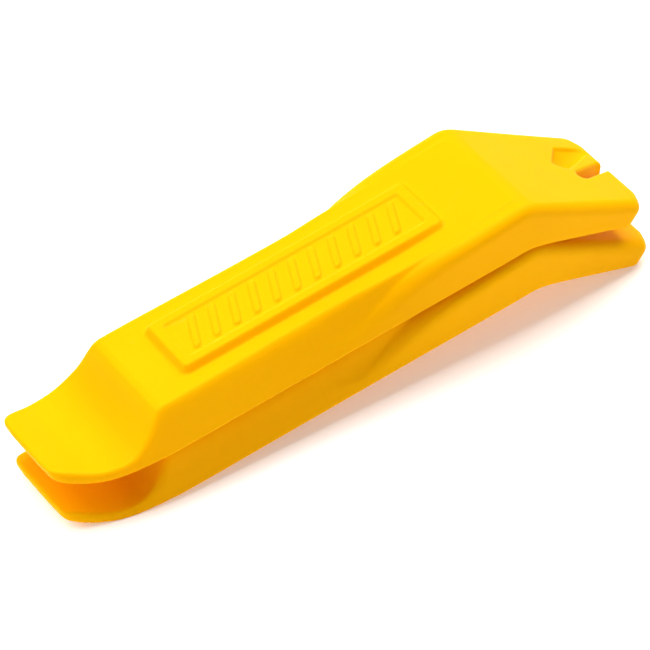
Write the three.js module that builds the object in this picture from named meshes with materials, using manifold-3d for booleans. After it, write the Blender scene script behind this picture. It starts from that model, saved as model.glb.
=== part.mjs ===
// A nested pair of one-piece plastic bicycle tyre levers.
//
// Each lever is a single injection moulding: a thin scooped tip that goes under
// the tyre bead, a straight drafted handle with a raised bordered grip panel,
// and a wide head bent down from the handle with a hooked spoke slot in its end.
// The underside is cored out into three cells with two cross ribs, so that one
// lever sits over the grip panel of the next and the two stack the same way up.
//
// Lever frame: X from the tip to the head, Y across, Z up from the plane of the
// handle's base. The stack is then tipped to the attitude in which it rests on
// a flat surface: on the curve of the base behind the tip and on the lower
// corner of the head.

import * as THREE from 'three';
import { mergeVertices } from 'three/addons/utils/BufferGeometryUtils.js';
import Module from 'manifold-3d';

// ------------------------------------------------------------ driving dimensions (mm)
const TIP_X = -63.85;           // end of the lip
const HEAD_X = 63.9;            // end of the head, measured at its top edge (127.75 overall)
const BASE_END_X = 60.65;       // end of the head, measured at its bottom edge
const HANDLE_H = 9.08;          // handle thickness, base plane to top land
const BASE_W = 14.83;           // half-width of the handle at its base
const LAND_W = 12.3;            // half-width of the land at the crest of the scoop ...
const WAIST_W = 11.8;           // ... and at the middle of the handle
const CREST_X = -41.6;          // where the land breaks down into the scoop
const TIP_RISE = 3.7;           // how far the underside of the lip curls up
const TIP_CURL_X = -51.3;       // where the underside starts to curl
const FOLD_X = 38.05;           // bend between handle and head, top surface
const FOLD_BASE_X = 37.9;       // the same bend, base
const FOLD_W = 15.35;           // half-width of the top at the bend
const FOLD_Z = 10.25;           // height of the top at the bend
const HEAD_W = 13.05;           // half-width of the head's end, top edge
const HEAD_BASE_W = 12.6;       // half-width of the head's end, bottom edge
const HEAD_Z = -7.15;           // top edge of the head's end
const HEAD_BASE_Z = -10.95;     // bottom edge of the head's end
const HEAD_CORNER_R = 2.6;      // plan radius of the head's corners
const WING_X = -10.0;           // where the wing crease leaves the side wall
const PANEL = { x0: -32.45, x1: 23.6, w: 6.9, z: 10.5, draft: 0.95 };  // raised grip panel, level on top
const FIELD = { x0: -30.3, x1: 21.5, w: 4.9, depth: 0.4 };             // recessed field inside its border
const RIB = { count: 11, pitch: 4.4, thick: 1.5, half: 4.0, slant: 1.6, h: 0.3 }; // slanted grip ribs
const WALL = 2.6;               // side wall of the hollow underside, at the base
const ROOF = 2.2;               // plastic left above the hollow
const CORE_X0 = -38.5;          // hollow, from behind the crest ...
const CORE_X1 = 48.0;           // ... to the root of the head
const CROSS_RIBS = [-10.5, 18.5];   // middles of the two cross ribs
const CROSS_RIB_T = 2.0;        // their thickness
const RIB_RELIEF = 0.4;         // how far they stop short of the base plane, to rest on the panel below
const PITCH = 10.5;             // spacing of the two stacked levers along the handle's normal

// ------------------------------------------------------------ helpers
const wasm = await Module();
wasm.setup();

// smooth table lookup (monotone cubic through the listed points)
function table(pts) {
  const n = pts.length, x = pts.map(p => p[0]), y = pts.map(p => p[1]);
  const d = [], m = new Array(n).fill(0);
  for (let i = 0; i < n - 1; i++) d.push((y[i + 1] - y[i]) / (x[i + 1] - x[i]));
  m[0] = d[0]; m[n - 1] = d[n - 2];
  for (let i = 1; i < n - 1; i++) m[i] = d[i - 1] * d[i] <= 0 ? 0 : 2 * d[i - 1] * d[i] / (d[i - 1] + d[i]);
  return t => {
    if (t <= x[0]) return y[0];
    if (t >= x[n - 1]) return y[n - 1];
    let i = 0;
    while (t > x[i + 1]) i++;
    const h = x[i + 1] - x[i], s = (t - x[i]) / h, s2 = s * s, s3 = s2 * s;
    return y[i] * (2 * s3 - 3 * s2 + 1) + m[i] * h * (s3 - 2 * s2 + s)
      + y[i + 1] * (3 * s2 - 2 * s3) + m[i + 1] * h * (s3 - s2);
  };
}
const mix = (a, b, t) => a + (b - a) * Math.min(1, Math.max(0, t));

function toManifold(geometry) {
  const g = geometry.clone();
  g.deleteAttribute('normal');
  g.deleteAttribute('uv');
  const m = mergeVertices(g, 1e-5);
  return new wasm.Manifold(new wasm.Mesh({
    numProp: 3,
    vertProperties: new Float32Array(m.attributes.position.array),
    triVerts: new Uint32Array(m.index.array),
  }));
}

function toGeometry(solid) {
  const mesh = solid.getMesh();
  const g = new THREE.BufferGeometry();
  g.setAttribute('position', new THREE.BufferAttribute(new Float32Array(mesh.vertProperties), 3));
  g.setIndex(new THREE.BufferAttribute(new Uint32Array(mesh.triVerts), 1));
  g.computeVertexNormals();
  return g;
}

// closed loft through rings of equal length; rings run anticlockwise seen from +X
function loft(rings) {
  const n = rings[0].length, pos = [], idx = [];
  rings.forEach(r => r.forEach(p => pos.push(...p)));
  for (let i = 0; i < rings.length - 1; i++) {
    for (let j = 0; j < n; j++) {
      const a = i * n + j, b = i * n + (j + 1) % n, c = a + n, d = b + n;
      idx.push(a, b, d, a, d, c);
    }
  }
  const cap = (ring, base, flip) => {
    const flat = ring.map(p => new THREE.Vector2(p[1], p[2]));
    THREE.ShapeUtils.triangulateShape(flat, []).forEach(([a, b, c]) => {
      idx.push(...(flip ? [base + a, base + c, base + b] : [base + a, base + b, base + c]));
    });
  };
  cap(rings[0], 0, true);
  cap(rings[rings.length - 1], (rings.length - 1) * n, false);
  const g = new THREE.BufferGeometry();
  g.setAttribute('position', new THREE.Float32BufferAttribute(pos, 3));
  g.setIndex(idx);
  return toManifold(g);
}

// ------------------------------------------------------------ the lever's lines
// half-width of the base outline behind the rounded lip
const baseW = table([[TIP_X, 7.4], [-63.6, 8.5], [-63.1, 9.3], [-62.2, 10.1], [-60.6, 10.95], [-58.4, 11.85],
  [-55.8, 12.65], [-52.3, 13.45], [-47.8, 14.2], [-41.8, 14.7], [-34.0, BASE_W], [30.0, BASE_W],
  [FOLD_BASE_X, 14.75], [44.0, 14.15], [BASE_END_X, HEAD_BASE_W]]);
// scoop: from the lip down into the hollow and up to the crest
const scoopZ = table([[TIP_X, 5.5], [-61.4, 4.7], [-58.9, 3.65], [-56.4, 2.62], [-53.9, 1.98], [-51.4, 1.8],
  [-48.9, 2.3], [-46.4, 3.8], [-44.4, 5.7], [-42.7, 7.75], [CREST_X, 8.75], [-40.6, HANDLE_H]]);
// top line of the handle: level, then rising to the bend
const landZ = table([[-40, HANDLE_H], [10, HANDLE_H], [18, 9.28], [24, 9.58], [31, 10.0], [FOLD_X, FOLD_Z]]);
const landW = table([[-40, LAND_W], [0, WAIST_W], [10, WAIST_W]]);
// crease of the wing: half-width and height, and the fall of the facet inside it
const wingW = table([[WING_X, 13.8], [-4, 14.15], [2, 14.45], [8, 14.7], [14, 14.9], [20, 15.05], [26, 15.15],
  [32, 15.25], [FOLD_X, FOLD_W]]);
const wingZ = table([[WING_X, 3.05], [-4, 4.65], [2, 6.07], [8, 7.3], [14, 8.32], [20, 9.08], [26, 9.6],
  [32, 9.97], [FOLD_X, FOLD_Z - 0.05]]);
const valleyW = table([[WING_X, 13.45], [-4, 12.95], [2, 12.3], [8, 11.95], [14, 11.7], [20, 11.2], [26, 10.2],
  [32, 8.0], [FOLD_X, 6.0]]);
const valleyZ = table([[WING_X, 4.15], [-4, 5.75], [2, 7.5], [8, 8.5], [14, 8.88], [20, 9.22], [26, 9.66],
  [32, 10.02], [FOLD_X, FOLD_Z - 0.03]]);
const headTop = x => mix(FOLD_Z, HEAD_Z, (x - FOLD_X) / (HEAD_X - FOLD_X));
const baseX = s => s <= FOLD_BASE_X ? s : mix(FOLD_BASE_X, BASE_END_X, (s - FOLD_BASE_X) / (HEAD_X - FOLD_BASE_X));
const baseZ = x => x < TIP_CURL_X ? TIP_RISE * Math.pow((TIP_CURL_X - x) / (TIP_CURL_X - TIP_X), 1.8)
  : x > FOLD_BASE_X ? mix(0, HEAD_BASE_Z, (x - FOLD_BASE_X) / (BASE_END_X - FOLD_BASE_X)) : 0;
const topZ = s => s <= -40 ? scoopZ(s) : s <= FOLD_X ? landZ(s) : headTop(s);
const draft = s => (BASE_W - landW(s)) / HANDLE_H;
const cornerCut = (s, end, r) => {
  const t = r - (end - s);
  return t <= 0 ? 0 : r - Math.sqrt(Math.max(0, r * r - t * t));
};

// half of one cross-section, from the middle of the base out and round to the middle of the top
function halfSection(s) {
  const xb = baseX(s), zb = baseZ(xb), zt = topZ(s), h = zt - zb;
  const cut = cornerCut(s, HEAD_X, HEAD_CORNER_R);
  const wb = baseW(xb) - cut;
  const bev = Math.min(0.5, h * 0.25);
  const wallW = wb - draft(s) * h;                    // top edge where the plain drafted wall ends
  let pts;
  if (s < WING_X) {
    const k = 0.35, rd = Math.min(1.3, h * 0.35);
    pts = [[wb - bev * 0.8, zb], [wb, zb + bev],
      [mix(wb, wallW, k) + 0.02, mix(zb, zt, k)],
      [mix(wb, wallW, 1 - rd / h), zt - rd],
      [wallW - rd * 0.22, zt - rd * 0.3], [wallW - rd * 0.9, zt]];
  } else if (s <= FOLD_X) {
    const t = Math.min(1, Math.max(0, (s - 8) / 22));
    const wv = valleyW(s), lw = landW(s);
    pts = [[wb - bev * 0.8, zb], [wb, zb + bev], [wingW(s), wingZ(s)],
      [wv, valleyZ(s)],
      [Math.min(wv - 0.15, lw + 0.05), mix(zt - 0.75, zt - 0.02, t)], [mix(Math.min(wv - 0.6, lw - 0.9), 4.4, t), zt]];
  } else {
    const t = (s - FOLD_X) / (HEAD_X - FOLD_X);
    const wr = mix(FOLD_W, HEAD_W, t) - cut;
    const e = mix(0.05, 0.7, t * 4);                   // the top edge softens along the head
    pts = [[wb - bev * 0.8, zb], [wb, zb + bev], [wr, zt - e],
      [wr - e, zt - 0.15 * e], [mix(5.9, wr, 0.5), zt], [4.4, zt]];
  }
  // every section lies in one plane that leans from the base's station to the top's
  return pts.map(([y, z]) => [mix(xb, s, (z - zb) / h), y, z]).concat([[s, 0, zt]]);
}
function section(s) {
  const half = halfSection(s), xb = half[0][0], zb = half[0][2];
  const right = half.slice(0, -1), left = right.map(([x, y, z]) => [x, -y, z]).reverse();
  return [[xb, 0, zb], ...right, half[half.length - 1], ...left];
}
const STATIONS = [TIP_X, -63.6, -63.1, -62.2, -61.2, -60, -58.4, -56.4, -54.4, -52.8, -51.3, -50, -48.4, -46.8, -45.4,
  -44, -42.7, CREST_X, -40.6, -36, -22, WING_X, -4, 2, 8, 14, 20, 26, 32, FOLD_X, 44, 51, 58, 61.2, 62.2, 63.0, 63.5,
  63.8, HEAD_X];

// hollow underside: one loft per cell, all with the same drafted walls
function coreRing(x, z0, inset) {
  const zt = topZ(x) - ROOF - (x > 10 ? 0.9 * Math.min(1, (x - 10) / 28) : 0);
  const zb = baseZ(x);
  const h = zt - zb;
  const w0 = baseW(x) - WALL - inset, w1 = Math.min(11.6, w0) - 1.2 - inset;
  const z = zb + z0, k = (z - zb) / h;
  return [[x, 0, z], [x, mix(w0, w1, k), z], [x, mix(w0, w1, 0.75), mix(zb, zt, 0.75)], [x, w1 - 0.6, zt],
    [x, 0, zt], [x, -(w1 - 0.6), zt], [x, -mix(w0, w1, 0.75), mix(zb, zt, 0.75)], [x, -mix(w0, w1, k), z]];
}
function coreCell(x0, x1) {
  const xs = [x0];
  for (const x of [-20, 2, 10, 28, 33, FOLD_BASE_X, 42]) if (x > x0 + 1 && x < x1 - 1) xs.push(x);
  xs.push(x1);
  return loft(xs.map(x => coreRing(x, -1.0, 0)));
}
// shallow relief over the cross ribs, so that they clear the panel of the lever below
function coreRelief() {
  const z1 = RIB_RELIEF, w = BASE_W - WALL - 0.4;
  const ring = x => [[x, 0, -1], [x, w, -1], [x, w - 0.3, z1], [x, 0, z1], [x, -(w - 0.3), z1], [x, -w, -1]];
  return loft([ring(CORE_X0 + 1.5), ring(28)]);
}

// prism between two outlines of equal length, given as [x, y, z] rings seen from above
function prism(lower, upper) {
  const n = lower.length, pos = [], idx = [];
  [...lower, ...upper].forEach(p => pos.push(...p));
  const tri = THREE.ShapeUtils.triangulateShape(lower.map(p => new THREE.Vector2(p[0], p[1])), []);
  tri.forEach(([a, b, c]) => { idx.push(a, c, b); idx.push(a + n, b + n, c + n); });
  for (let j = 0; j < n; j++) {
    const k = (j + 1) % n;
    idx.push(j, k, k + n, j, k + n, j + n);
  }
  const g = new THREE.BufferGeometry();
  g.setAttribute('position', new THREE.Float32BufferAttribute(pos, 3));
  g.setIndex(idx);
  return toManifold(g);
}
const rect = (x0, x1, w, z) => [[x0, -w, z], [x1, -w, z], [x1, w, z], [x0, w, z]];

function gripPanel() {
  const { x0, x1, w, z: top, draft: d } = PANEL, k = d * 1.35;
  let p = prism(rect(x0 - k, x1 + k, w + k, HANDLE_H - 0.5), rect(x0, x1, w, top));
  const f = FIELD;
  p = p.subtract(prism(rect(f.x0, f.x1, f.w, top - f.depth), rect(f.x0 - 0.2, f.x1 + 0.2, f.w + 0.2, top + 0.4)));
  const mid = (f.x0 + f.x1) / 2, zb = top - f.depth;
  for (let i = 0; i < RIB.count; i++) {
    const c = mid + (i - (RIB.count - 1) / 2) * RIB.pitch, t = RIB.thick / 2, s = RIB.slant, y = RIB.half;
    const lo = [[c - t - s, -y, zb - 0.2], [c + t - s, -y, zb - 0.2], [c + t + s, y, zb - 0.2], [c - t + s, y, zb - 0.2]];
    const k = 0.15;
    const hi = [[c - t - s + k, -y + k, zb + RIB.h], [c + t - s - k, -y + k, zb + RIB.h],
      [c + t + s - k, y - k, zb + RIB.h], [c - t + s + k, y - k, zb + RIB.h]];
    p = p.add(prism(lo, hi));
  }
  return p;
}

// spoke hook: a slanted slot right through the head, and a shallow ramped pocket beside it.
// Outlines are given on the head's top plane and cut square to the head.
const HEAD_TILT = Math.atan2(FOLD_Z - HEAD_Z, HEAD_X - FOLD_X) * 0.88;
function onHead(x, y, depth) {
  return [x - depth * Math.sin(HEAD_TILT), y, headTop(x) - depth * Math.cos(HEAD_TILT)];
}
const SLOT = [[66.4, -0.75], [66.4, 2.3], [63.3, 2.1], [60.6, 1.85], [56.2, -1.45], [55.5, -2.3], [55.8, -3.1],
  [56.6, -3.6], [57.5, -3.35], [61.8, -0.6]];
const POCKET = [[52.9, 1.7], [54.2, 0.2], [55.5, -0.3], [62.4, 5.3], [62.5, 6.6], [61.7, 7.4], [57.0, 7.7]];
function spokeSlot() {
  return prism(SLOT.map(([x, y]) => onHead(x, y, 14)), SLOT.map(([x, y]) => onHead(x, y, -3)));
}
function pocket() {
  const depth = x => mix(2.3, 0.55, (x - 53) / 9.4);
  return prism(POCKET.map(([x, y]) => onHead(x, y, depth(x))), POCKET.map(([x, y]) => onHead(x, y, -2)));
}

function lever() {
  let body = loft(STATIONS.map(section));
  const edges = [CORE_X0, ...CROSS_RIBS.flatMap(x => [x - CROSS_RIB_T / 2, x + CROSS_RIB_T / 2]), CORE_X1];
  for (let i = 0; i < edges.length; i += 2) body = body.subtract(coreCell(edges[i], edges[i + 1]));
  body = body.subtract(coreRelief());
  body = body.add(gripPanel());
  body = body.subtract(pocket()).subtract(spokeSlot());
  return toGeometry(body);
}

// ------------------------------------------------------------ the stack, at rest
// tilt at which the base's curve behind the tip and the head's lower corner touch one plane
let slope = Infinity;
for (const s of STATIONS) {
  if (s < -40) slope = Math.min(slope, (baseZ(s) - HEAD_BASE_Z) / (BASE_END_X - s));
}
const TILT = Math.atan(slope);

const yellow = () => new THREE.MeshStandardMaterial({ color: 0xffc800, roughness: 0.42, metalness: 0.0 });
const shape = lever();
const lower = new THREE.Mesh(shape, yellow());
lower.name = 'lower_lever';
const upper = new THREE.Mesh(shape.clone(), yellow());
upper.name = 'upper_lever';
upper.position.z = PITCH;

const stack = new THREE.Group();
stack.add(lower, upper);
stack.rotation.y = -TILT;
stack.updateMatrixWorld(true);
const box = new THREE.Box3().setFromObject(stack, true);
stack.position.set(-(box.min.x + box.max.x) / 2, 0, -box.min.z);

const model = new THREE.Group();
model.name = 'tyre_lever_pair';
model.add(stack);
model.updateMatrixWorld(true);

export default model;
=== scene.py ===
"""The finished look of the nested tyre lever pair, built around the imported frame.

Each lever is one moulding, so each is one mesh. The mesh is drawn from a distance field
of the lever (millimetres, lever frame: X tip to head, Y across, Z up from the handle's base
plane) with every edge and fillet at its own radius, and then put where the CAD lever is.
"""
import math

import bpy
import numpy as np
from mathutils import Matrix, Vector


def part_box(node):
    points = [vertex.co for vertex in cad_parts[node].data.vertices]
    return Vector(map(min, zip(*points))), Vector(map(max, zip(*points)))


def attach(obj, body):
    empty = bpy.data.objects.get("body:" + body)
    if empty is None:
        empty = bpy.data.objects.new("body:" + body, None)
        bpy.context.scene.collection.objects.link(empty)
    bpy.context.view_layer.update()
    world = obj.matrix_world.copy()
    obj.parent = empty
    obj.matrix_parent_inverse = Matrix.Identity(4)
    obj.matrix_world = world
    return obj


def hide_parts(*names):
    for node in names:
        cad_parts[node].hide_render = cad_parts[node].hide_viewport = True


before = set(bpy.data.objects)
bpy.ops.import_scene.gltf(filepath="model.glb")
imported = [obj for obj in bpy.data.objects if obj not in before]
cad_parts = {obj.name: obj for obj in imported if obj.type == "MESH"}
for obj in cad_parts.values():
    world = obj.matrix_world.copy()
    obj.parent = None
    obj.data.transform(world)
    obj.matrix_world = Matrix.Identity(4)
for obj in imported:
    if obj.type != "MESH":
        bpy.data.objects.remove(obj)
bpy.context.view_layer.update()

# ---------------------------------------------------------------- dimensions, as in the CAD (mm)
TIP_X, HEAD_X, BASE_END_X = -63.85, 64.02, 60.65
HANDLE_H, BASE_W = 9.08, 14.83
TIP_RISE, TIP_CURL_X = 3.7, -51.3
FOLD_X, FOLD_BASE_X, FOLD_W = 38.05, 37.9, 15.35
FOLD_Z = 10.45                       # before the bend is rounded over
HEAD_W, HEAD_BASE_W, HEAD_Z, HEAD_BASE_Z = 13.05, 12.6, -7.15, -10.95
HEAD_CORNER_R = 2.7
WING_X = -10.0
PANEL = dict(x0=-32.45, x1=23.6, w=6.9, z=10.5)
FIELD = dict(x0=-30.3, x1=21.5, w=4.9, depth=0.34)
RIB = dict(count=11, pitch=4.4, thick=1.5, half=4.0, slant=1.6, h=0.4)
WALL, ROOF, CORE_X0, CORE_X1 = 2.6, 2.2, -38.5, 48.0
CROSS_RIBS, CROSS_RIB_T, RIB_RELIEF = (-10.5, 18.5), 2.0, 0.4
PITCH = 10.5


def table(pts):
    """Smooth lookup through the listed points, monotone between them."""
    x = np.array([p[0] for p in pts], float)
    y = np.array([p[1] for p in pts], float)
    d = np.diff(y) / np.diff(x)
    m = np.zeros(len(x))
    m[0], m[-1] = d[0], d[-1]
    for i in range(1, len(x) - 1):
        m[i] = 0 if d[i - 1] * d[i] <= 0 else 2 * d[i - 1] * d[i] / (d[i - 1] + d[i])

    def at(t):
        t = np.clip(t, x[0], x[-1])
        i = np.clip(np.searchsorted(x, t, side="right") - 1, 0, len(x) - 2)
        h = x[i + 1] - x[i]
        s = (t - x[i]) / h
        return (
            y[i] * (2 * s**3 - 3 * s**2 + 1)
            + m[i] * h * (s**3 - 2 * s**2 + s)
            + y[i + 1] * (3 * s**2 - 2 * s**3)
            + m[i + 1] * h * (s**3 - s**2)
        )

    return at


base_w = table([(TIP_X, 7.4), (-63.6, 8.5), (-63.1, 9.3), (-62.2, 10.1), (-60.6, 10.95), (-58.4, 11.85),
    (-55.8, 12.65), (-52.3, 13.45), (-47.8, 14.2), (-41.8, 14.7), (-34.0, BASE_W), (30.0, BASE_W),
    (FOLD_BASE_X, 14.75), (44.0, 14.15), (BASE_END_X, HEAD_BASE_W)])
scoop_z = table([(TIP_X, 5.5), (-61.4, 4.7), (-58.9, 3.65), (-56.4, 2.62), (-53.9, 1.98), (-51.4, 1.8),
    (-48.9, 2.3), (-46.4, 3.8), (-44.4, 5.7), (-42.7, 7.75), (-41.6, 8.75), (-40.6, HANDLE_H)])
land_z = table([(-40, HANDLE_H), (10, HANDLE_H), (18, 9.28), (24, 9.6), (31, 10.08), (FOLD_X, FOLD_Z), (41, 10.6)])
land_w = table([(-40, 12.3), (0, 11.8), (10, 11.8)])
wing_w = table([(WING_X, 13.8), (-4, 13.75), (2, 13.85), (8, 14.25), (14, 14.8), (20, 15.15), (26, 15.4),
    (32, 15.45), (FOLD_X, 15.45)])
wing_z = table([(-20, -3.0), (WING_X, 3.0), (-4, 3.5), (2, 4.7), (8, 6.2), (14, 7.8), (20, 8.9), (26, 9.5),
    (32, 9.95), (FOLD_X, 10.35), (42, 10.6)])
facet = table([(-20, 1.3), (WING_X, 1.2), (-4, 1.05), (2, 0.81), (8, 0.54), (14, 0.33), (20, 0.2), (26, 0.12), (32, 0.06), (38, 0.03)])
HEAD_M = (HEAD_Z - FOLD_Z) / (HEAD_X - FOLD_X)
HEAD_BASE_M = HEAD_BASE_Z / (BASE_END_X - FOLD_BASE_X)


def mix(a, b, t):
    return a + (b - a) * np.clip(t, 0, 1)


def step(a, b, t):
    s = np.clip((t - a) / (b - a), 0, 1)
    return s * s * (3 - 2 * s)


def smin(a, b, k):
    h = np.maximum(k - np.abs(a - b), 0) / np.maximum(k, 1e-9)
    return np.minimum(a, b) - h * h * k / 4


def smax(a, b, k):
    return -smin(-a, -b, k)


def rmax(a, b, r):
    """Where two bodies meet at an edge of radius r."""
    return np.minimum(np.maximum(a, b), -r) + np.hypot(np.maximum(a + r, 0), np.maximum(b + r, 0))


def head_top(x):
    return FOLD_Z + HEAD_M * (x - FOLD_X)


def base_z(x):
    curl = TIP_RISE * (np.maximum(TIP_CURL_X - x, 0) / (TIP_CURL_X - TIP_X)) ** 1.8
    return curl + smin(0 * x, HEAD_BASE_M * (x - FOLD_BASE_X), 1.2) + 0.02


def rect(x, y, x0, x1, w, r):
    """Distance to a rounded rectangle."""
    dx = np.abs(x - (x0 + x1) / 2) - (x1 - x0) / 2 + r
    dy = np.abs(y) - w + r
    return np.hypot(np.maximum(dx, 0), np.maximum(dy, 0)) + np.minimum(np.maximum(dx, dy), 0) - r


def relief(x, y, line):
    """Height of the grip panel, its recessed field and its slanted ribs above the land."""
    p, f, q = PANEL, FIELD, RIB
    out = rect(x, y, p["x0"], p["x1"], p["w"], 0.8)
    h = (p["z"] - line) * (1 - step(-0.25, 1.15, out))
    inn = rect(x, y, f["x0"], f["x1"], f["w"], 0.5)
    h = h - f["depth"] * (1 - step(-0.45, 0.35, inn))
    mid = (f["x0"] + f["x1"]) / 2
    lean = x - mid - q["slant"] * y / q["half"]
    i = np.clip(np.round(lean / q["pitch"] + (q["count"] - 1) / 2), 0, q["count"] - 1)
    c = (i - (q["count"] - 1) / 2) * q["pitch"]
    rib = rect(lean, y, c - q["thick"] / 2, c + q["thick"] / 2, q["half"], 0.7)
    return h + q["h"] * (1 - step(-0.32, 0.26, rib))


def wall_line(x):
    """How fast the handle's drafted wall narrows with height."""
    return (BASE_W - land_w(x)) / HANDLE_H


def far_corner(x, y):
    """The tip's far corner is fuller than its near one."""
    return 0.7 * step(2, 6, y) * (1 - step(-63.2, -57.5, x))


def top_height(x, y):
    """The lever's upper surface as a height."""
    a = np.abs(y) - far_corner(x, y)
    zb = base_z(x)
    line = np.where(x < -40, scoop_z(x), land_z(x))
    wall = np.where(x < 0, zb, 0) + (base_w(np.minimum(x, 20)) - a) / wall_line(x)
    wing = wing_z(x) + (wing_w(x) - a) * facet(x)
    wall = smax(wall, wing, 1.3)
    k = np.clip(0.8 * (line - zb), 0.6, 3.8)
    k = k + (0.5 - k) * step(-4, 16, x)
    h = smin(line + 0 * a, wall, k)
    h = h + relief(x, y, line)
    return smin(h, head_top(x) + 0 * a, 1.5)


def side_width(x, z):
    """The lever's half-width at a height."""
    zb = base_z(x)
    wb = base_w(x)
    handle = wb - wall_line(x) * (z - zb)
    wing = wb - (wb - wing_w(x)) * z / np.maximum(wing_z(x), 0.5)
    handle = np.where(x < WING_X, handle, wing)
    ht = head_top(x)
    wt = FOLD_W + (HEAD_W - FOLD_W) * (x - FOLD_X) / (HEAD_X - FOLD_X)
    head = wb - (wb - wt) * (z - zb) / np.maximum(ht - zb, 1.0)
    s = step(FOLD_X - 2.0, FOLD_X + 2.0, x)
    return handle * (1 - s) + head * s


def slope(f, a, b, h=0.02):
    """Value of a height function and the length that its slope gives a unit of it."""
    v = f(a, b)
    da = (f(a + h, b) - f(a - h, b)) / (2 * h)
    db = (f(a, b + h) - f(a, b - h)) / (2 * h)
    return v, np.sqrt(1 + da * da + db * db)


# the hooked spoke slot and its pocket, in the plane of the head's top
HEAD_TILT = math.atan2(FOLD_Z - HEAD_Z, HEAD_X - FOLD_X) * 0.88
SLOT_LINE = [(70.0, 0.75), (62.9, 0.75), (57.05, -2.3)]
SLOT_R = 1.3
POCKET = [(52.9, 1.7), (54.2, 0.2), (55.5, -0.3), (62.4, 5.3), (62.5, 6.6), (61.7, 7.4), (57.0, 7.7)]
ALONG = math.sqrt(1 + HEAD_M**2)


def on_head(x, z):
    depth = (head_top(x) - z) / (math.cos(HEAD_TILT) - HEAD_M * math.sin(HEAD_TILT))
    return x + depth * math.sin(HEAD_TILT), depth


def segment(px, py, a, b):
    ax, ay, bx, by = a[0], a[1], b[0], b[1]
    t = np.clip(((px - ax) * (bx - ax) + (py - ay) * (by - ay)) / ((bx - ax) ** 2 + (by - ay) ** 2), 0, 1)
    return np.hypot(px - ax - t * (bx - ax), py - ay - t * (by - ay))


def polygon(px, py, pts):
    n = len(pts)
    d = np.full(np.broadcast(px, py).shape, 1e9)
    inside = np.zeros(d.shape, bool)
    for i in range(n):
        a, b = pts[i], pts[(i + 1) % n]
        d = np.minimum(d, segment(px, py, a, b))
        hit = ((a[1] > py) != (b[1] > py)) & (px < (b[0] - a[0]) * (py - a[1]) / (b[1] - a[1] + 1e-12) + a[0])
        inside ^= hit
    return np.where(inside, -d, d)


def field(x, y, z):
    """Signed distance, near enough, from the lever's surface: negative in the plastic."""
    a = np.abs(y) - far_corner(x, y)
    h, n = slope(top_height, x, y)
    top = (z - h) / n
    w, n = slope(side_width, x, z)
    side = (a - w) / n
    zb = base_z(x)
    db = (base_z(x + 0.02) - base_z(x - 0.02)) / 0.04
    base = (zb - z) / np.sqrt(1 + db * db)
    c, s = 0.76, 0.65
    end = (x - HEAD_X + 0.028 * y) * c - (z - HEAD_Z) * s

    walls = rmax(side, end, HEAD_CORNER_R)
    r = 0.1 + 2.0 * step(-9, 4, x) + 0.3 * step(FOLD_X, 55, x)
    r = r + (0.9 - r) * step(58, 62, x) * (1 - step(8.2, 11.5, a))
    f = rmax(top, walls, r)
    f = rmax(f, TIP_X - x, 0.75)
    f = rmax(f, base, 0.35)

    # hollow underside: three cells and the shallow relief that clears the panel below
    roof = smin(HANDLE_H + 0.4 * step(10, 38, x), head_top(x) - 0.9, 1.0) - ROOF
    w0 = base_w(x) - WALL
    w1 = np.minimum(11.6, w0) - 1.2
    k = (z - zb) / np.maximum(roof - zb, 1)
    cw = (a - (w0 + (w1 - w0) * k)) / 1.03
    edges = [CORE_X0] + [x + d for x in CROSS_RIBS for d in (-CROSS_RIB_T / 2, CROSS_RIB_T / 2)] + [CORE_X1]
    shell = rmax(z - roof, cw, 1.6)
    for i in range(0, len(edges), 2):
        lean = 0.018 * (z - zb)
        ends = np.maximum(edges[i] + lean - x, x - edges[i + 1] + lean)
        cell = rmax(shell, ends, 1.3)
        f = rmax(f, -cell, 0.3)
    w = BASE_W - WALL - 0.6
    rel = rmax(rect(x, y, CORE_X0 + 1.5, 28.0, w, 2.0), z - RIB_RELIEF, 0.2)
    f = rmax(f, -rel, 0.2)

    # spoke slot
    near = np.broadcast_to((x > 48) & (z < 6), f.shape)
    if near.any():
        xs, ys, zs = (np.broadcast_to(v, f.shape)[near] for v in (x, y, z))
        u, depth = on_head(xs, zs)
        U = u * ALONG
        lean = np.clip(0.1 - 0.22 * depth, -0.3, 0.2)    # the slot's far wall leans back
        d = np.minimum.reduce([segment(U, ys - lean, (p[0] * ALONG, p[1]), (q[0] * ALONG, q[1]))
                               for p, q in zip(SLOT_LINE, SLOT_LINE[1:])]) - SLOT_R - lean
        g = f[near]
        pk = polygon(U, ys, [(p[0] * ALONG, p[1]) for p in POCKET]) + 0.1
        deep = smin(0.25 + 0.62 * (u - 53.2), 2.2 - 0.33 * (u - 57.0), 1.0)
        deep = np.maximum(smin(deep, 0.45 * (8.6 - ys), 1.0), 0.1)
        pk = np.maximum(rmax(pk, (depth - deep) / 1.15, 0.4), -3 - depth)
        g = rmax(g, -pk, 0.3)
        g = rmax(g, -d, 0.3)
        f = f.copy()
        f[near] = g
    return f


# ---------------------------------------------------------------- mesh from the field
def axis(stops):
    """Grid lines: each stop is (from, to, spacing)."""
    out = [stops[0][0]]
    for a, b, d in stops:
        n = max(1, int(round((b - a) / d)))
        out += [a + (b - a) * (i + 1) / n for i in range(n)]
    return np.array(out)


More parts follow.
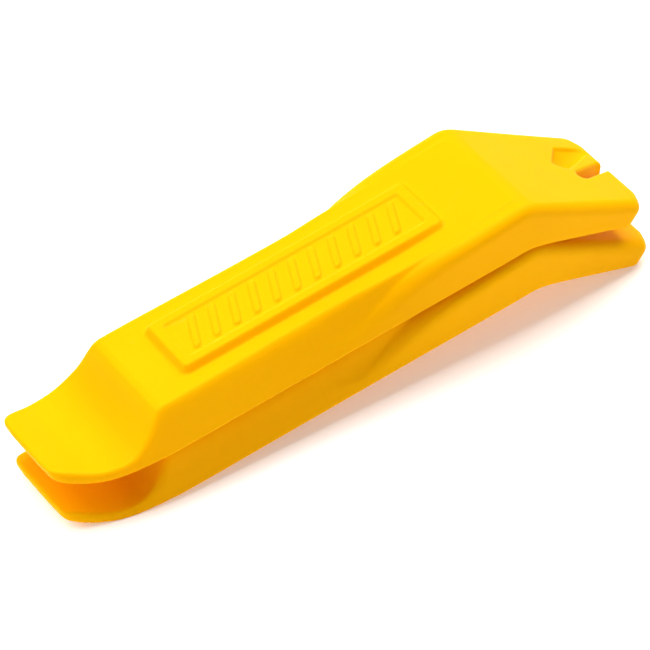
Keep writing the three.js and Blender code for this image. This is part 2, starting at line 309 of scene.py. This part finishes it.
def draw(gx, gy, gz):
    """Surface nets on an uneven grid, then every point moved onto the surface itself."""
    F = field(gx[:, None, None], gy[None, :, None], gz[None, None, :])
    ins = F < 0
    nx, ny, nz = F.shape
    corners = [(i, j, k) for i in (0, 1) for j in (0, 1) for k in (0, 1)]
    cnt = sum(ins[i:nx - 1 + i, j:ny - 1 + j, k:nz - 1 + k].astype(np.int8) for i, j, k in corners)
    cells = np.argwhere((cnt > 0) & (cnt < 8))
    vid = np.full((nx - 1, ny - 1, nz - 1), -1, np.int64)
    vid[tuple(cells.T)] = np.arange(len(cells))
    acc = np.zeros((len(cells), 3))
    num = np.zeros(len(cells))
    G = [gx, gy, gz]
    for a in corners:
        for ax in range(3):
            if a[ax]:
                continue
            b = tuple(v + (i == ax) for i, v in enumerate(a))
            ia, ib = cells + a, cells + b
            fa, fb = F[tuple(ia.T)], F[tuple(ib.T)]
            cross = (fa < 0) != (fb < 0)
            t = np.where(cross, fa / np.where(cross, fa - fb, 1), 0)
            for d in range(3):
                pa, pb = G[d][ia[:, d]], G[d][ib[:, d]]
                acc[:, d] += np.where(cross, pa + (pb - pa) * t, 0)
            num += cross
    P = acc / num[:, None]
    quads = []
    for ax in range(3):
        o = [d for d in range(3) if d != ax]
        lo = [slice(None)] * 3
        hi = [slice(None)] * 3
        lo[ax], hi[ax] = slice(0, -1), slice(1, None)
        ch = ins[tuple(lo)] != ins[tuple(hi)]
        e = np.argwhere(ch)
        e = e[(e[:, o[0]] > 0) & (e[:, o[1]] > 0) & (e[:, o[0]] < F.shape[o[0]] - 1) & (e[:, o[1]] < F.shape[o[1]] - 1)]
        first = ins[tuple(e.T)]
        q = []
        for da, db in ((0, 0), (1, 0), (1, 1), (0, 1)):
            c = e.copy()
            c[:, o[0]] -= 1 - da
            c[:, o[1]] -= 1 - db
            q.append(vid[tuple(c.T)])
        q = np.stack(q, 1)
        flip = ~first if ax != 1 else first
        q[flip] = q[flip][:, ::-1]
        quads.append(q)
    Q = np.concatenate(quads)

    def settle(P, times):
        for _ in range(times):
            v = field(P[:, 0], P[:, 1], P[:, 2])
            g = np.stack([(field(*(P + d).T) - field(*(P - d).T)) / 0.04
                          for d in np.eye(3) * 0.02], 1)
            L = np.maximum((g * g).sum(1), 0.05)
            mv = g * (v / L)[:, None]
            n = np.linalg.norm(mv, axis=1)
            P = P - mv * np.minimum(1, 0.25 / np.maximum(n, 1e-9))[:, None]
        return P

    P = settle(P, 2)
    # even the points out over the surface, then settle again
    E = np.concatenate([Q[:, [0, 1]], Q[:, [1, 2]], Q[:, [2, 3]], Q[:, [3, 0]]])
    deg = np.bincount(E.ravel(), minlength=len(P)).astype(float)
    for _ in range(2):
        S = np.stack([np.bincount(E[:, 0], P[E[:, 1], d], len(P)) + np.bincount(E[:, 1], P[E[:, 0], d], len(P))
                      for d in range(3)], 1) / deg[:, None]
        P = settle(P + 0.35 * (S - P), 1)
    P = settle(P, 2)
    return P, Q


gx = axis([(-64.6, -60, 0.28), (-60, -34, 0.46), (-34, 24.5, 0.335), (24.5, 50, 0.48), (50, 65.0, 0.29)])
gy = axis([(-16.2, -12.4, 0.34), (-12.4, -8, 0.44), (-8, 8, 0.34), (8, 12.4, 0.44), (12.4, 16.2, 0.34)])
gz = axis([(-12, -1, 0.43), (-1, 1, 0.3), (1, 8, 0.46), (8, 11.4, 0.2)])
LEVER_P, LEVER_Q = draw(gx, gy, gz)

# ---------------------------------------------------------------- where the CAD levers are
slopes = []
for s in (TIP_X, -63.6, -63.1, -62.2, -61.2, -60, -58.4, -56.4, -54.4, -52.8, -51.3, -50, -48.4, -46.8, -45.4, -44,
          -42.7, -41.6, -40.6):
    curl = TIP_RISE * (max(0.0, TIP_CURL_X - s) / (TIP_CURL_X - TIP_X)) ** 1.8
    slopes.append((curl - HEAD_BASE_Z) / (BASE_END_X - s))
TILT = math.atan(min(slopes))
COS, SIN = math.cos(TILT), math.sin(TILT)
low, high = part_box("lower_lever")
ORIGIN = np.array([low.x * 1000 - TIP_X * COS + 5.5 * SIN, 0.0, low.z * 1000 - (BASE_END_X * SIN + HEAD_BASE_Z * COS)])


def to_row(P):
    """Lever frame, mm, to the row frame, metres."""
    P = np.asarray(P, float)
    out = np.stack([P[..., 0] * COS - P[..., 2] * SIN, P[..., 1], P[..., 0] * SIN + P[..., 2] * COS], -1)
    return (out + ORIGIN) / 1000


def lever(name, lift, node, material):
    P = LEVER_P + np.array([0, 0, lift])
    me = bpy.data.meshes.new(name)
    V = to_row(P)
    me.vertices.add(len(V))
    me.vertices.foreach_set("co", V.astype(np.float32).ravel())
    me.loops.add(LEVER_Q.size)
    me.loops.foreach_set("vertex_index", LEVER_Q.astype(np.int32).ravel())
    me.polygons.add(len(LEVER_Q))
    me.polygons.foreach_set("loop_start", np.arange(0, LEVER_Q.size, 4, dtype=np.int32))
    me.update(calc_edges=True)
    me.validate()
    me.polygons.foreach_set("use_smooth", np.ones(len(me.polygons), bool))
    ob = bpy.data.objects.new(name, me)
    bpy.context.scene.collection.objects.link(ob)
    me.materials.append(material)
    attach(ob, node)
    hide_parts(node)
    return ob


# ---------------------------------------------------------------- material
def plastic(name, seed):
    m = bpy.data.materials.new(name)
    m.use_nodes = True
    nt = m.node_tree
    N, L = nt.nodes, nt.links
    N.clear()
    out = N.new("ShaderNodeOutputMaterial")
    b = N.new("ShaderNodeBsdfPrincipled")
    L.new(b.outputs["BSDF"], out.inputs["Surface"])
    b.inputs["Metallic"].default_value = 0.0
    b.inputs["IOR"].default_value = 1.46
    b.inputs["Specular IOR Level"].default_value = 0.015
    b.inputs["Subsurface Weight"].default_value = 0.12
    b.inputs["Subsurface Radius"].default_value = (1.0, 0.42, 0.08)
    b.inputs["Subsurface Scale"].default_value = 0.0022

    co = N.new("ShaderNodeTexCoord")

    def noise(scale, detail, rough=0.55, offset=(0, 0, 0)):
        mp = N.new("ShaderNodeMapping")
        mp.inputs["Location"].default_value = tuple(o + seed for o in offset)
        L.new(co.outputs["Object"], mp.inputs["Vector"])
        n = N.new("ShaderNodeTexNoise")
        n.inputs["Scale"].default_value = scale
        n.inputs["Detail"].default_value = detail
        n.inputs["Roughness"].default_value = rough
        L.new(mp.outputs["Vector"], n.inputs["Vector"])
        return n

    def ramp(src, stops):
        r = N.new("ShaderNodeValToRGB")
        while len(r.color_ramp.elements) > 1:
            r.color_ramp.elements.remove(r.color_ramp.elements[-1])
        r.color_ramp.elements[0].position = stops[0][0]
        r.color_ramp.elements[0].color = stops[0][1]
        for p, c in stops[1:]:
            e = r.color_ramp.elements.new(p)
            e.color = c
        L.new(src, r.inputs["Fac"])
        return r

    # pigment: very slight clouding where the melt flowed
    cloud = noise(38, 4, 0.5)
    tint = ramp(cloud.outputs["Fac"], [(0.30, (0.945, 0.432, 0.0003, 1)), (0.55, (0.96, 0.445, 0.0004, 1)),
                                       (0.75, (0.97, 0.455, 0.0005, 1))])
    # painted glints: a few thin streaks a shade paler, standing in for specular flecks, and also made duller like light
    # handling scuffs
    mp = N.new("ShaderNodeMapping")
    mp.inputs["Scale"].default_value = (260, 900, 900)
    mp.inputs["Rotation"].default_value = (0, 0, 0.5)
    L.new(co.outputs["Object"], mp.inputs["Vector"])
    streak = N.new("ShaderNodeTexNoise")
    streak.inputs["Scale"].default_value = 1.0
    streak.inputs["Detail"].default_value = 2.0
    L.new(mp.outputs["Vector"], streak.inputs["Vector"])
    patch = noise(55, 2, 0.5, (3.1, 0, 0))
    s1 = ramp(streak.outputs["Fac"], [(0.66, (0, 0, 0, 1)), (0.74, (1, 1, 1, 1))])
    s2 = ramp(patch.outputs["Fac"], [(0.58, (0, 0, 0, 1)), (0.70, (1, 1, 1, 1))])
    glint_and_scuff_mask = N.new("ShaderNodeMath"); glint_and_scuff_mask.operation = "MULTIPLY"
    L.new(s1.outputs["Color"], glint_and_scuff_mask.inputs[0])
    L.new(s2.outputs["Color"], glint_and_scuff_mask.inputs[1])
    glint_amount = N.new("ShaderNodeMath"); glint_amount.operation = "MULTIPLY"
    glint_amount.inputs[1].default_value = 0.10
    L.new(glint_and_scuff_mask.outputs[0], glint_amount.inputs[0])
    pale = N.new("ShaderNodeMix"); pale.data_type = "RGBA"
    L.new(glint_amount.outputs[0], pale.inputs["Factor"])
    L.new(tint.outputs["Color"], pale.inputs[6])
    # painted glint colour, a shade paler than the pigment
    pale.inputs[7].default_value = (0.98, 0.74, 0.22, 1)
    L.new(pale.outputs[2], b.inputs["Base Color"])

    # satin tool surface: roughness drifts a little and the pale painted-glint streaks are duller, like scuffs
    drift = noise(120, 3, 0.6, (0, 7.7, 0))
    rr = N.new("ShaderNodeMapRange")
    rr.inputs["From Min"].default_value = 0.3
    rr.inputs["From Max"].default_value = 0.7
    rr.inputs["To Min"].default_value = 0.34
    rr.inputs["To Max"].default_value = 0.44
    L.new(drift.outputs["Fac"], rr.inputs["Value"])
    radd = N.new("ShaderNodeMath"); radd.operation = "MULTIPLY_ADD"
    radd.inputs[1].default_value = 0.14
    L.new(glint_and_scuff_mask.outputs[0], radd.inputs[0])
    L.new(rr.outputs["Result"], radd.inputs[2])
    L.new(radd.outputs[0], b.inputs["Roughness"])

    # fine moulded grain and a trace of flow waviness
    grain = noise(5200, 2, 0.5, (0, 0, 5.3))
    wave = noise(230, 2, 0.4, (9.1, 0, 0))
    b1 = N.new("ShaderNodeBump")
    b1.inputs["Strength"].default_value = 0.10
    b1.inputs["Distance"].default_value = 0.00003
    L.new(grain.outputs["Fac"], b1.inputs["Height"])
    b2 = N.new("ShaderNodeBump")
    b2.inputs["Strength"].default_value = 0.12
    b2.inputs["Distance"].default_value = 0.00012
    L.new(wave.outputs["Fac"], b2.inputs["Height"])
    L.new(b1.outputs["Normal"], b2.inputs["Normal"])
    L.new(b2.outputs["Normal"], b.inputs["Normal"])
    return m


lower = lever("lower_lever_moulding", 0.0, "lower_lever", plastic("lever_plastic_lower", 0.0))
upper = lever("upper_lever_moulding", PITCH, "upper_lever", plastic("lever_plastic_upper", 4.7))

# ---------------------------------------------------------------- stage
scene = bpy.context.scene
fm = bpy.data.meshes.new("floor")
S = 3.0
fm.from_pydata([(-S, -S, 0), (S, -S, 0), (S, S, 0), (-S, S, 0)], [], [(0, 1, 2, 3)])
floor = bpy.data.objects.new("floor", fm)
scene.collection.objects.link(floor)
mat = bpy.data.materials.new("floor_pale")
mat.use_nodes = True
p = mat.node_tree.nodes["Principled BSDF"]
p.inputs["Base Color"].default_value = (0.93, 0.93, 0.93, 1)
p.inputs["Roughness"].default_value = 0.9
p.inputs["Specular IOR Level"].default_value = 0.1
p.inputs["Emission Color"].default_value = (1, 1, 1, 1)
p.inputs["Emission Strength"].default_value = 0.25   # a pale diffusing table, lit a little from below
fm.materials.append(mat)

world = bpy.data.worlds.new("studio")
scene.world = world
world.use_nodes = True
bg = world.node_tree.nodes["Background"]
bg.inputs["Color"].default_value = (1, 1, 1, 1)
bg.inputs["Strength"].default_value = 0.31


def area(name, place, aim, size, watts, colour=(1, 1, 1)):
    d = bpy.data.lights.new(name, "AREA")
    d.shape = "SQUARE"
    d.size = size
    d.energy = watts
    d.color = colour
    o = bpy.data.objects.new(name, d)
    scene.collection.objects.link(o)
    o.location = place
    o.rotation_euler = (Vector(aim) - Vector(place)).to_track_quat("-Z", "Y").to_euler()
    return o


# softboxes overhead, to either end and low behind, which lights the far wings' edges
area("softbox_top", (0.0, 0.18, 0.98), (0, 0, 0.01), 0.7, 5.9)
area("softbox_back", (0.06, 0.90, 0.30), (0, 0, 0.01), 0.5, 1.6)
area("softbox_tip", (-0.62, 0.24, 0.75), (0, 0, 0.01), 0.6, 5.4)
area("softbox_head", (0.62, 0.24, 0.75), (0, 0, 0.01), 0.6, 6.0)


# ---------------------------------------------------------------- camera, at the photograph's angle
AZ, EL, ROLL = math.radians(-23.1215), math.radians(44.1244), math.radians(13.1703)
F_PX, DIST, TX, TY = 4915.83, 921.8845, 1.4265, -3.0457
back = np.array([math.sin(AZ) * math.cos(EL), -math.cos(AZ) * math.cos(EL), math.sin(EL)])
R = np.array([math.cos(AZ), math.sin(AZ), 0.0])
U = np.cross(back, R)
R2 = math.cos(ROLL) * R - math.sin(ROLL) * U
U2 = math.sin(ROLL) * R + math.cos(ROLL) * U
C = -TX * R2 - TY * U2 + DIST * back
turn = np.array([[COS, 0, -SIN], [0, 1, 0], [SIN, 0, COS]])
M = Matrix.Identity(4)
for i, v in enumerate((R2, U2, back)):
    w = turn @ v
    for j in range(3):
        M[j][i] = w[j]
c = to_row(C)
for j in range(3):
    M[j][3] = c[j]
cd = bpy.data.cameras.new("camera")
cd.lens = F_PX / 650 * 36
cd.sensor_width = 36
cd.clip_start = 0.05
cd.clip_end = 20
cam = bpy.data.objects.new("camera", cd)
scene.collection.objects.link(cam)
cam.matrix_world = M
scene.camera = cam

scene.view_settings.view_transform = "Standard"
scene.view_settings.look = "None"
scene.view_settings.exposure = 0.0
